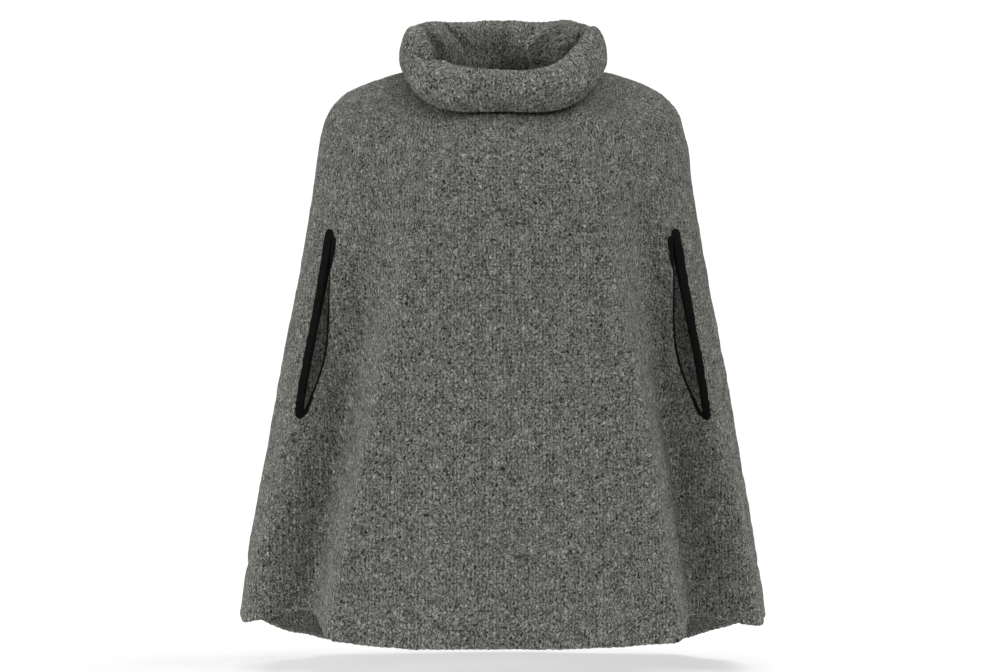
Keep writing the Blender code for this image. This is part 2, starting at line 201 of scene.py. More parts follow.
def slit_side_angle(run):
    """The angle of a slit's edge beside the side seam, which bows out in its middle."""
    return SLIT_SIDE_ANGLE + SLIT_BOW * slit_bell(run)


def slit_half_gap(run):
    """Half the angle between a slit's edges."""
    return SLIT_END_HALF_ANGLE + (SLIT_MID_HALF_ANGLE - SLIT_END_HALF_ANGLE) * slit_bell(run)


# A slit's tape, in shares of the slit's length. Beside the centre front it goes out of sight from one
# share over the next, and comes back in part. Beside the side seam it narrows over the last one.
LAP_HIDES_FROM, LAP_HIDES_OVER = 0.02, 0.22
LAP_BACK_FROM, LAP_BACK_OVER, LAP_BACK = 0.82, 0.16, 0.5
TAPE_NARROWS_OVER = 0.6


def lap_shown(run):
    """How much of a slit's tape lies on the wool beside the centre front: all at the top, none in the
    middle and half at the bottom."""
    part = (run - SLIT_TOP) / (SLIT_BOTTOM - SLIT_TOP)
    comes_back = ease((part - LAP_BACK_FROM) / LAP_BACK_OVER)
    return 1.0 - ease((part - LAP_HIDES_FROM) / LAP_HIDES_OVER) + LAP_BACK * comes_back


def tape_narrowing(run):
    """0 at a slit's top, 1 from where its side tape has its lower width."""
    return ease(slit_part(run) / TAPE_NARROWS_OVER)


def body_points(angle, run):
    """The cloth's outer face: the sections, moved out and up by the folds and beside the slits."""
    angle, run = np.broadcast_arrays(np.asarray(angle, float), np.asarray(run, float))
    points = section_points(angle, run)
    across = section_points(angle + SECTION_STEP, run) - section_points(angle - SECTION_STEP, run)
    level_out = unit(np.stack([across[..., 1], -across[..., 0], 0.0 * run], axis=-1))
    down = run / HEM_RUN
    out = -HEM_GROOVE * bell((run - TURN_RUN) / HEM_GROOVE_HALF)
    lift = 0.0 * run
    for row in FOLDS:
        fold = dict(zip(FOLD_COLUMNS, row))
        centre = fold["top_angle"] + (fold["hem_angle"] - fold["top_angle"]) * down
        shape = bell(turned(angle - centre) / fold["half_angle"])
        grown = ease((run - fold["start"]) / (fold["full"] - fold["start"]))
        out = out + fold["out"] * grown * shape
        lift = lift + fold["lift"] * grown**3 * shape
    beside = np.abs(angle) - slit_side_angle(run) + slit_half_gap(run)
    slit_side = -np.tanh(beside / SLIT_LIFT_EDGE) * bell(beside / SLIT_LIFT_HALF_ANGLE)
    out = out + SLIT_LIFT * slit_bell(run) * slit_side
    points = points + level_out * out[..., None]
    points[..., 2] += lift
    return points


def body_outward(angle, run):
    """Unit vectors square to the cloth, from its slopes across and down."""
    run = np.clip(run, RUN_STEP, HEM_RUN - RUN_STEP)
    across = body_points(angle + OUTWARD_STEP, run) - body_points(angle - OUTWARD_STEP, run)
    down = body_points(angle, run + RUN_STEP) - body_points(angle, run - RUN_STEP)
    return unit(np.cross(down, across))


NOISE_CELLS, NOISE_SHIFT = 400, (200.4, 200.7)


def lattice_noise(across, down, cell, seed):
    """Smooth heights from -1 to 1: a random value at each corner of square cells, eased between them."""
    values = np.random.default_rng(seed).uniform(-1.0, 1.0, (NOISE_CELLS + 1, NOISE_CELLS + 1))
    across, down = across / cell + NOISE_SHIFT[0], down / cell + NOISE_SHIFT[1]
    column, row = np.floor(across).astype(int), np.floor(down).astype(int)
    right, low = ease(across - column), ease(down - row)
    column, row = column % NOISE_CELLS, row % NOISE_CELLS
    top = values[row, column] * (1 - right) + values[row, column + 1] * right
    bottom = values[row + 1, column] * (1 - right) + values[row + 1, column + 1] * right
    return top * (1 - low) + bottom * low


# Creases of the front: metres across from the centre and down the cloth from the neck seam. Each fades
# in over CREASE_END of its length and out again, and over CREASE_FROM_SEAM towards a side seam.
CREASE_END, CREASE_FROM_SEAM = 0.25, 0.02
CREASE_COLUMNS = ("start_across", "start_down", "end_across", "end_down", "half_width", "height")
FRONT_CREASES = (
    (-0.105, 0.030, -0.190, 0.120, 0.010, -0.0016),
    (-0.060, 0.045, -0.110, 0.170, 0.013, -0.0011),
    (0.080, 0.030, 0.150, 0.105, 0.009, -0.0017),
    (0.115, 0.035, 0.215, 0.125, 0.012, 0.0013),
    (0.045, 0.060, 0.075, 0.190, 0.012, -0.0010),
    (-0.205, 0.135, -0.222, 0.260, 0.010, 0.0013),
    (-0.150, 0.110, -0.160, 0.240, 0.012, 0.0012),
    (0.030, 0.440, 0.028, 0.640, 0.005, -0.0011),
    (-0.085, 0.415, 0.060, 0.402, 0.011, 0.0014),
    (-0.120, 0.470, -0.095, 0.600, 0.013, -0.0010),
    (0.110, 0.330, 0.132, 0.500, 0.012, -0.0012),
    (0.155, 0.250, 0.160, 0.340, 0.010, 0.0011),
    (-0.020, 0.250, -0.030, 0.360, 0.014, -0.0009),
)


def crease_height(across, down, creases):
    """The sum of soft troughs and ridges, each a bell across a straight line that fades at both ends."""
    total = 0.0 * across
    for row in creases:
        crease = dict(zip(CREASE_COLUMNS, row))
        start = np.array([crease["start_across"], crease["start_down"]])
        line = np.array([crease["end_across"], crease["end_down"]]) - start
        offset = np.stack([across, down], axis=-1) - start
        part = np.clip(offset @ line / (line @ line), 0.0, 1.0)
        apart = np.linalg.norm(offset - part[..., None] * line, axis=-1)
        height = crease["height"] * bell(apart / crease["half_width"])
        total = total + height * ease(part / CREASE_END) * ease((1.0 - part) / CREASE_END)
    return total


# The wool's relief, in metres: a rib or a groove between two is one wale across, and sways a little.
# Nubs and slow swells are longer down the cloth than across it.
WALE = 0.00445
RIB_HEIGHT = 0.00035
SWAY_CELL, SWAY = 0.021, 0.0013
NUB_CELL, NUB_HEIGHT, NUB_SHORTENING = 0.0075, 0.00055, 0.7
LUMP_CELL, LUMP_HEIGHT = 0.026, 0.0007
SLOW_CELL, SLOW_HEIGHT, SLOW_SHORTENING = 0.085, 0.0016, 0.6
RELIEF_FROM_SEAM = 0.004
SEAM_DIP, SEAM_DIP_HALF = 0.0014, 0.0035


def relief(across, down, seed):
    """How far the wool stands up at a place given in metres across and down the cloth: a cosine across
    for the ribs, and three noises of growing size."""
    sway = SWAY * lattice_noise(across, down, SWAY_CELL, seed)
    ribs = RIB_HEIGHT * np.cos(np.pi * (across + sway) / WALE)
    nubs = NUB_HEIGHT * lattice_noise(across, NUB_SHORTENING * down, NUB_CELL, seed + 1)
    lumps = LUMP_HEIGHT * lattice_noise(across, down, LUMP_CELL, seed + 2)
    slow = SLOW_HEIGHT * lattice_noise(across, SLOW_SHORTENING * down, SLOW_CELL, seed + 3)
    return ribs + nubs + lumps + slow


# The visible face has FINE cells for each cell of the plain hidden face, both ways. Across, the cells
# are equally wide where the run is EVEN_AT of the way to the hem.
FINE = 4
FRONT_CELLS_TO_SLIT = 41
FRONT_CELLS_TO_SIDE = 18
YOKE_ROWS, SLIT_ROWS, SKIRT_ROWS, HEM_ROWS = 15, 14, 11, 5
EVEN_AT, EVEN_SAMPLES = 0.75, 600


def finer(places):
    """FINE equal steps between each two of some places."""
    return np.interp(np.arange((len(places) - 1) * FINE + 1) / FINE, np.arange(len(places)), places)


def travelled(points, axis):
    """The way from the first point along one axis of a grid, as the sum of the straight steps."""
    steps = np.diff(points, axis=axis, prepend=points.take([0], axis=axis))
    return np.cumsum(np.linalg.norm(steps, axis=-1), axis=axis)


def even_angles(low, high, cells, run):
    """Angles from low to high that stand evenly along the cloth at one run."""
    angle = np.linspace(low, high, EVEN_SAMPLES)
    length = travelled(body_points(angle, run), 0)
    return np.interp(np.linspace(0.0, length[-1], cells + 1), length, angle)


def panel_runs():
    """Runs of a panel's fine rows, down to where its hem begins to turn under."""
    stops = (0.0, SLIT_TOP, SLIT_BOTTOM, TURN_RUN, HEM_RUN - HEM_EDGE)
    counts = (YOKE_ROWS, SLIT_ROWS, SKIRT_ROWS, HEM_ROWS)
    parts = [np.linspace(low, high, count + 1)[1:] for low, high, count in zip(stops, stops[1:], counts)]
    return finer(np.concatenate([[0.0], *parts]))


def panel(angle, run, side_of_seam, seed, creases, pressed=1.0):
    """Points of a panel's visible face, points of its hidden face, and the places on the cloth. The
    visible face is the body's cloth moved square to itself by creases, relief, stitches and seams, and
    its last rows go round the hem's edge in half a circle. side_of_seam is -1 for the front and 1 for the
    back. pressed is 1 where the wool stands free and 0 where a tape holds it."""
    seam_y = side_of_seam * SEAM_GAP / 2
    base = body_points(angle, run)
    outward = body_outward(angle, run)
    at_seam = np.isclose(np.abs(turned(angle)), SIDE)
    outward[at_seam, 1] = 0.0
    outward = unit(outward)
    base[at_seam, 1] = seam_y
    across = travelled(base, 1)
    from_seam = np.minimum(across, across[:, -1:] - across)
    across = across - across[:, across.shape[1] // 2, None]
    down = travelled(base, 0)
    up = down[-1] - down
    creased = crease_height(across, down, creases) * pressed * ease(from_seam / CREASE_FROM_SEAM)
    base = base + outward * creased[..., None]
    raised = relief(across, up, seed) * pressed * ease(from_seam / RELIEF_FROM_SEAM)
    stitched = bell((run - TURN_RUN) / HEM_STITCH_HALF)
    pulled = 1.0 + lattice_noise(across, up, HEM_STITCH_CELL, seed + 4)
    raised = raised - HEM_STITCH_DIP * stitched * pulled
    raised = raised - SEAM_DIP * bell(from_seam / SEAM_DIP_HALF)
    layer = HEM_LAYER * ease((run - TURN_RUN) / HEM_GROOVE_HALF)
    visible = base + outward * raised[..., None]
    hidden = (base - outward * (CLOTH + layer)[..., None])[::FINE, ::FINE]
    hidden[at_seam[::FINE, ::FINE], 1] = seam_y
    visible[at_seam, 1] = seam_y
    downward = unit(base[-1] - base[-3])
    turn = (np.arange(FINE) + 1)[:, None, None] * np.pi / FINE
    middle = base[-1] - outward[-1] * HEM_EDGE
    around = np.cos(turn) * outward[-1] + np.sin(turn) * downward
    round_hem = middle + (HEM_EDGE + raised[-1, :, None]) * around
    round_hem[:, at_seam[-1], 1] = seam_y
    visible = np.concatenate([visible, round_hem])
    hidden[-1] += HEM_HIDDEN_UP * (hidden[-2] - hidden[-1])
    last = round_hem[-1:, ::FINE] * HEM_HIDDEN_OUT + hidden[-1:] * (1.0 - HEM_HIDDEN_OUT)
    hidden = np.concatenate([hidden, last])
    below = -HEM_EDGE * turn[:, :, 0] + 0.0 * across[-1]
    cloth = np.stack([np.vstack([across, across[-1] + 0.0 * below]), np.vstack([up, below])], axis=-1)
    return visible, hidden, cloth


def cells_of(place):
    """The four corners of each cell of a grid of point numbers."""
    return np.stack([place[:-1, :-1], place[1:, :-1], place[1:, 1:], place[:-1, 1:]], axis=-1)


# Where the parts of a cloth lie in the map OFBake, whose sides are 1: a left edge and a width for all,
# and a bottom and a height for each.
BAKE_LEFT, BAKE_WIDTH = 0.01, 0.98
FINE_BOTTOM, FINE_TALL = 0.21, 0.78
PLAIN_BOTTOM, PLAIN_TALL = 0.06, 0.13
RIM_BOTTOM, RIM_TOP, RIM_SHARE = 0.01, 0.04, 0.7
SHARP_DEGREES = 65.0


def new_object(name, data):
    """An object of this data, put into the scene."""
    made = bpy.data.objects.new(name, data)
    bpy.context.scene.collection.objects.link(made)
    return made


def add_mesh(name, points, faces, maps, finish):
    """An object of these points and faces. maps holds, by name, a (u, v) pair for each face corner."""
    used, joined = np.unique(np.concatenate([face.ravel() for face in faces]), return_inverse=True)
    sizes = [face.size for face in faces]
    parts = np.split(joined, np.cumsum(sizes)[:-1])
    polygons = [row for part, face in zip(parts, faces) for row in part.reshape(face.shape).tolist()]
    mesh = bpy.data.meshes.new(name)
    mesh.from_pydata(points[used].tolist(), [], polygons)
    for map_name, corners in maps.items():
        mesh.uv_layers.new(name=map_name).data.foreach_set("uv", corners.astype(np.float32).ravel())
    mesh.materials.append(finish)
    mesh.shade_smooth()
    mesh.set_sharp_from_angle(angle=np.radians(SHARP_DEGREES))
    return new_object(name, mesh)


def cloth_piece(name, visible, hidden, cloth, finish, kept=None, closed_round=False):
    """A closed wall: a fine face, a plain one behind it and a rim along every open edge. kept says which
    plain cells have cloth, and closed_round joins the last column to the first. The map OFBake gives the
    fine face most of a square, the plain face a band below it and the rims a strip at the bottom."""
    rows, columns = hidden.shape[0] - 1, hidden.shape[1] - 1
    fine_place = np.arange(visible[..., 0].size).reshape(visible.shape[:2])
    plain_place = fine_place.size + np.arange(hidden[..., 0].size).reshape(hidden.shape[:2])
    kept = np.ones((rows, columns), bool) if kept is None else kept
    fine = cells_of(fine_place)[kept.repeat(FINE, axis=0).repeat(FINE, axis=1)]
    plain = cells_of(plain_place)[kept][:, ::-1]
    around = np.pad(kept, ((0, 0), (1, 1)), mode="wrap" if closed_round else "constant")
    around = np.pad(around, ((1, 1), (0, 0)))
    # For each side of a cell: its first corner, the step along it, and whether there is cloth beyond it.
    beyond = {
        (0, 0, 1, 0): around[1:-1, :-2],
        (1, 0, 0, 1): around[2:, 1:-1],
        (1, 1, -1, 0): around[1:-1, 2:],
        (0, 1, 0, -1): around[:-2, 1:-1],
    }
    rims = []
    steps = np.arange(FINE, -1, -1)
    for (row_from, column_from, row_step, column_step), neighbour in beyond.items():
        row, column = np.nonzero(kept & ~neighbour)
        row, column = row + row_from, column + column_from
        fine_row = (row * FINE)[:, None] + steps * row_step
        fine_column = (column * FINE)[:, None] + steps * column_step
        ends = [plain_place[row, column], plain_place[row + row_step, column + column_step]]
        rims.append(np.column_stack([fine_place[fine_row, fine_column], *ends]))
    rims = np.concatenate(rims)
    faces = [fine, plain, rims]

    over, up = np.linspace(0, 1, visible.shape[1]), np.linspace(1, 0, visible.shape[0])
    grid = np.stack(np.meshgrid(over, up), -1)
    fine_map = grid * (BAKE_WIDTH, FINE_TALL) + (BAKE_LEFT, FINE_BOTTOM)
    plain_map = grid[::FINE, ::FINE] * (BAKE_WIDTH, PLAIN_TALL) + (BAKE_LEFT, PLAIN_BOTTOM)
    place_map = np.concatenate([fine_map.reshape(-1, 2), plain_map.reshape(-1, 2)])
    rim_left = BAKE_LEFT + BAKE_WIDTH * np.arange(len(rims)) / len(rims)
    rim_width = RIM_SHARE * BAKE_WIDTH / len(rims)
    rim_u = rim_left[:, None] + rim_width * np.array([*np.linspace(0.0, 1.0, FINE + 1), 1.0, 0.0])
    rim_v = np.broadcast_to(np.array([RIM_TOP] * (FINE + 1) + [RIM_BOTTOM] * 2), rim_u.shape)
    rim_map = np.stack([rim_u, rim_v], -1).reshape(-1, 2)
    bake = np.concatenate([place_map[fine.ravel()], place_map[plain.ravel()], rim_map])
    on_cloth = np.concatenate([cloth.reshape(-1, 2), cloth[::FINE, ::FINE].reshape(-1, 2)])
    corners = np.concatenate([face.ravel() for face in faces])
    maps = {"cloth": on_cloth[corners], "OFBake": bake}
    if closed_round:
        same = np.arange(fine_place.size + plain_place.size)
        same[fine_place[:, -1]] = fine_place[:, 0]
        same[plain_place[:, -1]] = plain_place[:, 0]
        faces = [same[face] for face in faces]
    points = np.concatenate([visible.reshape(-1, 3), hidden.reshape(-1, 3)])
    return add_mesh(name, points, faces, maps, finish)


class Wire:
    """One output of a shader node. It adds, multiplies and so on like a number."""

    def __init__(self, tree, socket=None):
        self.tree, self.socket = tree, socket

    def node(self, kind, output, settings, inputs):
        """The named output of a new node of that kind. Settings are set first, then inputs."""
        made = self.tree.nodes.new(kind)
        for name, value in settings.items():
            setattr(made, name, value)
        for name, value in inputs.items():
            if isinstance(value, Wire):
                self.tree.links.new(value.socket, made.inputs[name])
            else:
                made.inputs[name].default_value = value
        return Wire(self.tree, made.outputs[output])

    def maths(self, operation, *others):
        return self.node("ShaderNodeMath", 0, {"operation": operation}, dict(enumerate((self, *others))))

    def __add__(self, other):
        return self.maths("ADD", other)

    def __mul__(self, other):
        return self.maths("MULTIPLY", other)

    def __sub__(self, other):
        return self.maths("SUBTRACT", other)

    def __truediv__(self, other):
        return self.maths("DIVIDE", other)

    def __pow__(self, other):
        return self.maths("POWER", other)

    def __rsub__(self, other):
        return self * -1.0 + other

    __radd__, __rmul__ = __add__, __mul__

    def vector(self, operation, *others):
        inputs = dict(enumerate((self, *others)))
        return self.node("ShaderNodeVectorMath", "Vector", {"operation": operation}, inputs)

    def part(self, axis):
        """The share of a vector along one axis."""
        return self.node("ShaderNodeSeparateXYZ", axis, {}, {"Vector": self})

    def noise(self, scale, detail, output="Fac"):
        """A flat noise at this place."""
        inputs = {"Vector": self, "Scale": scale, "Detail": detail}
        return self.node("ShaderNodeTexNoise", output, {"noise_dimensions": "2D"}, inputs)

    def wave(self):
        """From 0 at whole numbers up to 1 half way between them."""
        return ((self.maths("FRACT") - 0.5).maths("ABSOLUTE") * -2.0) + 1.0

    def crest(self, steepness):
        """A noise turned into curling strands: 1 where it crosses one half, falling to 0 on both sides."""
        return ((self - 0.5).maths("ABSOLUTE") * -steepness + 1.0).maths("MAXIMUM", 0.0)

    def clipped(self, low, high):
        """0 at low, 1 at high, and never beyond."""
        inputs = {"Value": self, "From Min": low, "From Max": high}
        return self.node("ShaderNodeMapRange", "Result", {"clamp": True}, inputs)

    def mixed(self, dark, light):
        """A colour between two, by this value."""
        return self.node("ShaderNodeMix", 2, {"data_type": "RGBA"}, {0: self, 6: dark, 7: light})

    def bump(self, strength, distance):
        """The normal of a surface with this height."""
        inputs = {"Strength": strength, "Distance": distance, "Height": self}
        return self.node("ShaderNodeBump", "Normal", {}, inputs)


def cloth_material(name):
    """A new material, and the place on the cloth by the cloth's own map."""
    made = bpy.data.materials.new(name)
    made.use_nodes = True
    return made, Wire(made.node_tree).node("ShaderNodeUVMap", "UV", {"uv_map": "cloth"}, {})


def into_shader(made, inputs):
    """Sets a material's shader inputs: wires are linked and constants are set on the socket."""
    shader = made.node_tree.nodes["Principled BSDF"]
    for name, value in inputs.items():
        if isinstance(value, Wire):
            made.node_tree.links.new(value.socket, shader.inputs[name])
        else:
            shader.inputs[name].default_value = value


# The wool's look, with painted shade and painted light that follow its relief. Scales are cells for each
# metre, steepnesses narrow a strand, and shares say how much each layer adds to the height or to the
# colour.
WOOL_DARK, WOOL_LIGHT = (0.010, 0.010, 0.009, 1.0), (0.550, 0.542, 0.492, 1.0)
WOOL_SHEEN_TINT = (0.75, 0.75, 0.72, 1.0)
CURL_SCALE, CURL_REACH = 200.0, (0.0075, 0.0080, 0.0)
LOOP_LENGTH, LOOP_SLANT = 0.0050, 0.55
LENGTHENED = (1.0, 0.72, 0.0)
STRAND_SCALE, STRAND_STEEPNESS, STRAND_SHARE = 330.0, 6.5, 0.55
CROSS_SCALE, CROSS_STEEPNESS, CROSS_SHARE = 500.0, 7.0, 0.40
KNOT_SCALE, KNOT_SHARE = 350.0, 0.75
FIBRE_SCALE, FIBRE_SHARE = 800.0, 0.35
LOOP_SHARE, WALE_SHARE = 0.25, 0.25
BLOTCH_SCALE, BLOTCH_SHARE = 60.0, 0.35
HEATHER_SCALE, HEATHER_SHARE = 420.0, 0.8
PAINTED_SHADE_SHARE = 0.75
SHADE_LOW, SHADE_HIGH, SHADE_POWER = 0.93, 2.10, 1.6
WOOL_BUMP = 0.0012


def wool_material():
    """Felted heather wool. On the cloth's own map, bent by a noise, the height is the sum of curling
    strands, knots, wales with loops and short fibres. The colour follows the height, with painted shade
    where the fibres lie low and painted light on the raised ones. It also follows two more noises for the
    wool's own heather and blotches, and mixes a dark and a light wool."""
    made, flat = cloth_material("grey_wool")
    place = flat.noise(CURL_SCALE, detail=1.5, output="Color").vector("MULTIPLY_ADD", CURL_REACH, flat)
    wale = (place.part("X") / WALE).wave()
    loop = (place.part("Y") / LOOP_LENGTH + wale * LOOP_SLANT).wave()
    longer = place.vector("MULTIPLY", LENGTHENED)
    strand = longer.noise(STRAND_SCALE, detail=1.0).crest(STRAND_STEEPNESS)
    cross = longer.noise(CROSS_SCALE, detail=1.0).crest(CROSS_STEEPNESS)
    flat_cells = {"voronoi_dimensions": "2D", "feature": "F1"}
    knots = {"Vector": longer, "Scale": KNOT_SCALE}
    from_knot = longer.node("ShaderNodeTexVoronoi", "Distance", flat_cells, knots)
    height = strand * STRAND_SHARE + cross * CROSS_SHARE + (1.0 - from_knot) * KNOT_SHARE
    height = height + wale * (loop * LOOP_SHARE + WALE_SHARE)
    height = height + place.noise(FIBRE_SCALE, detail=2.0) * FIBRE_SHARE
    heather = flat.noise(HEATHER_SCALE, detail=2.5) * HEATHER_SHARE
    # Darker where the relief lies low and lighter on the raised strands: painted shade and painted light,
    # added to the wool's own heather and blotches.
    tone_and_painted_shade = height * PAINTED_SHADE_SHARE + heather + flat.noise(BLOTCH_SCALE, detail=2.0) * BLOTCH_SHARE
    tone_and_painted_shade = tone_and_painted_shade.clipped(SHADE_LOW, SHADE_HIGH) ** SHADE_POWER
    inputs = {
        "Base Color": tone_and_painted_shade.mixed(WOOL_DARK, WOOL_LIGHT),
        "Roughness": 0.95,
        "Specular IOR Level": 0.15,
        "Sheen Weight": 0.12,
        "Sheen Roughness": 0.6,
        "Sheen Tint": WOOL_SHEEN_TINT,
        "Normal": height.bump(strength=1.0, distance=WOOL_BUMP),
    }
    into_shader(made, inputs)
    return made


wool = wool_material()

front_run = panel_runs()[:, None]
slit_side_edge = slit_side_angle(front_run)
slit_front_edge = slit_side_edge - 2.0 * slit_half_gap(front_run)
reference = EVEN_AT * HEM_RUN
to_slit = finer(even_angles(0.0, SLIT_SIDE_ANGLE, FRONT_CELLS_TO_SLIT, reference)) / SLIT_SIDE_ANGLE
to_side = finer(even_angles(SLIT_SIDE_ANGLE, SIDE, FRONT_CELLS_TO_SIDE, reference))
to_side = (to_side - SLIT_SIDE_ANGLE) / (SIDE - SLIT_SIDE_ANGLE)
half_front = np.concatenate(
    [
        slit_front_edge * to_slit,
        slit_front_edge + (slit_side_edge - slit_front_edge) * np.arange(1, FINE) / FINE,
        slit_side_edge + (SIDE - slit_side_edge) * to_side,
    ],
    axis=1,
)
front_angle = np.concatenate([-half_front[:, :0:-1], half_front], axis=1)
front_run = front_run + 0.0 * front_angle

# How far the wool is pressed flat beside a slit, in degrees, and past its ends, in metres. It rises
# again from one share of that reach over the next.
PRESSED_SIDE, PRESSED_SIDE_LESS_LOW = 3.3, 0.9
PRESSED_FRONT, PRESSED_FRONT_SHOWN = 0.1, 1.4
PRESSED_PAST_END = 0.010
PRESSED_UP_TO, PRESSED_RISE = 0.9, 0.5

# The wool is pressed flat where each slit's tape lies on it: along the whole of the side edge, and beside
# the centre front only near the slit's ends.
past_end = np.maximum(SLIT_TOP - front_run, front_run - SLIT_BOTTOM)
reach_to_side = PRESSED_SIDE - PRESSED_SIDE_LESS_LOW * tape_narrowing(front_run)
reach_to_front = PRESSED_FRONT + PRESSED_FRONT_SHOWN * lap_shown(front_run)
beside_side = (np.abs(front_angle) - slit_side_edge) / reach_to_side
beside_front = (slit_front_edge - np.abs(front_angle)) / reach_to_front
from_tape = np.maximum(np.maximum(beside_side, beside_front), 0.0)
from_tape = np.hypot(from_tape, np.maximum(past_end, 0.0) / PRESSED_PAST_END)
pressed = ease((from_tape - PRESSED_UP_TO) / PRESSED_RISE)

visible, hidden, cloth = panel(front_angle, front_run, -1, FRONT_SEED, FRONT_CREASES, pressed)

# The one column of cells between a slit's edges has no cloth.
half_cells = FRONT_CELLS_TO_SLIT + 1 + FRONT_CELLS_TO_SIDE
front_kept = np.ones((len(hidden) - 1, 2 * half_cells), bool)
slit_rows = slice(YOKE_ROWS, YOKE_ROWS + SLIT_ROWS)
front_kept[slit_rows, half_cells + FRONT_CELLS_TO_SLIT] = False
front_kept[slit_rows, half_cells - 1 - FRONT_CELLS_TO_SLIT] = False
front = cloth_piece("front_cloth", visible, hidden, cloth, wool, front_kept)
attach(front, "root")
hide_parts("front")


# ----------------------------------------------------------------------------------------- back
# The same A-shaped panel without slits, a little longer at the hem. It hangs in softer folds.

BACK_CELLS = 118
BACK_SEED = 47
BACK_CREASES = (
    (-0.120, 0.040, -0.215, 0.115, 0.011, -0.0016),
    (0.095, 0.035, 0.180, 0.120, 0.010, -0.0015),
    (-0.050, 0.060, -0.085, 0.200, 0.013, 0.0012),
    (0.040, 0.075, 0.050, 0.230, 0.012, -0.0011),
    (0.150, 0.160, 0.170, 0.310, 0.012, 0.0013),
    (-0.165, 0.190, -0.175, 0.330, 0.011, -0.0012),
    (-0.060, 0.400, 0.090, 0.388, 0.012, 0.0013),
    (-0.015, 0.470, -0.022, 0.660, 0.007, -0.0011),
    (0.120, 0.430, 0.135, 0.600, 0.012, -0.0012),
    (-0.130, 0.520, -0.120, 0.690, 0.012, 0.0012),
)

back_run = panel_runs()[:, None]
back_half = finer(even_angles(SIDE, 180.0, BACK_CELLS // 2, reference))
back_angle = np.concatenate([back_half, 360.0 - back_half[-2::-1]])[None, :] + 0.0 * back_run
back_run = back_run + 0.0 * back_angle
visible, hidden, cloth = panel(back_angle, back_run, 1, BACK_SEED, BACK_CREASES)
back = cloth_piece("back_cloth", visible, hidden, cloth, wool)
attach(back, "root")
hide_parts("back")


# ---------------------------------------------------------------------------------- roll collar
# One knitted tube, joined at the centre back, sewn to the neck edge and rolled over outwards once. It
# opens unevenly: on the wearer's right its lobe sags over a crease, and on the left it bulges in.

COLLAR_COLUMNS = ("front_out", "front_up", "side_out", "side_up", "back_out", "back_up")
COLLAR_PATH = (
    (0.000, 0.000, 0.000, 0.000, 0.000, 0.000),
    (-0.004, 0.004, -0.004, 0.004, -0.004, 0.005),
    (-0.006, 0.014, -0.003, 0.016, -0.006, 0.022),
    (-0.005, 0.027, 0.001, 0.031, -0.005, 0.042),
    (-0.002, 0.039, 0.008, 0.044, -0.002, 0.060),
    (0.003, 0.048, 0.014, 0.052, 0.004, 0.072),
    (0.010, 0.052, 0.021, 0.056, 0.012, 0.078),
    (0.018, 0.050, 0.028, 0.050, 0.021, 0.074),
    (0.026, 0.042, 0.033, 0.037, 0.027, 0.061),
    (0.030, 0.030, 0.036, 0.022, 0.029, 0.043),
    (0.028, 0.016, 0.036, 0.009, 0.028, 0.023),
    (0.014, 0.001, 0.031, -0.004, 0.018, -0.001),
)
# Places along the collar are shares of the way from its seam, at 0, to its free edge outside, at 1. Its
# two front corners stand out and sag from one of them on.
COLLAR_CORNER_OUT = 0.013
COLLAR_CORNER_SAG = 0.003
COLLAR_CORNER_FROM = 0.45
COLLAR_RIM = 0.50
COLLAR_RIM_REACH = 0.24
COLLAR_INNER = 0.25
COLLAR_INNER_REACH = 0.13
COLLAR_FOLD_COLUMNS = ("angle", "half_angle", "rim_drop", "bulge")
COLLAR_FOLDS = (
    (-57.0, 13.0, 0.020, 0.000),
    (131.0, 14.0, -0.004, 0.042),
    (92.0, 13.0, 0.003, -0.006),
    (68.0, 13.0, 0.002, -0.003),
    (-92.0, 11.0, 0.003, 0.000),
    (-128.0, 17.0, -0.004, 0.009),
    (160.0, 14.0, 0.002, 0.004),
)
# The same columns for the collar's creases, with the angle for across and along for down.
COLLAR_CREASES = (
    (-46.0, 0.38, -72.0, 0.76, 0.0042, -0.0055),
    (-38.0, 0.46, -62.0, 0.82, 0.0070, 0.0035),
    (-56.0, 0.43, -108.0, 0.44, 0.0055, 0.0055),
    (-60.0, 0.33, -110.0, 0.33, 0.0070, -0.0080),
    (-108.0, 0.44, -118.0, 0.02, 0.0100, -0.0110),
    (-132.0, 0.48, -146.0, 0.22, 0.0045, -0.0050),
    (-142.0, 0.48, -154.0, 0.24, 0.0060, 0.0040),
    (122.0, 0.50, 143.0, 0.06, 0.0070, 0.0070),
    (102.0, 0.46, 114.0, 0.04, 0.0095, -0.0120),
    (150.0, 0.44, 162.0, 0.06, 0.0060, -0.0040),
    (60.0, 0.28, 90.0, 0.28, 0.0100, -0.0050),
    (40.0, 0.46, 66.0, 0.62, 0.0055, -0.0018),
    (-10.0, 0.62, -34.0, 0.90, 0.0080, -0.0014),
    (18.0, 0.56, 40.0, 0.92, 0.0090, 0.0016),
    (-150.0, 0.60, -162.0, 0.92, 0.0080, -0.0018),
    (150.0, 0.58, 164.0, 0.90, 0.0080, -0.0016),
)
COLLAR_METRES_PER_DEGREE, COLLAR_METRES_ALONG = 0.0020, 0.15
COLLAR_SEAM_DIP, COLLAR_SEAM_HALF = 0.0032, 0.0026
# The seam is flatter on the rim, and beside it the relief fades out.
COLLAR_SEAM_FLAT, COLLAR_SEAM_FLAT_REACH = 0.8, 0.10
COLLAR_SEAM_HALF_ANGLE = 2.0
COLLAR_CELLS_ROUND, COLLAR_CELLS_ALONG = 150, 30
COLLAR_WALES = 168
COLLAR_SEED = 83


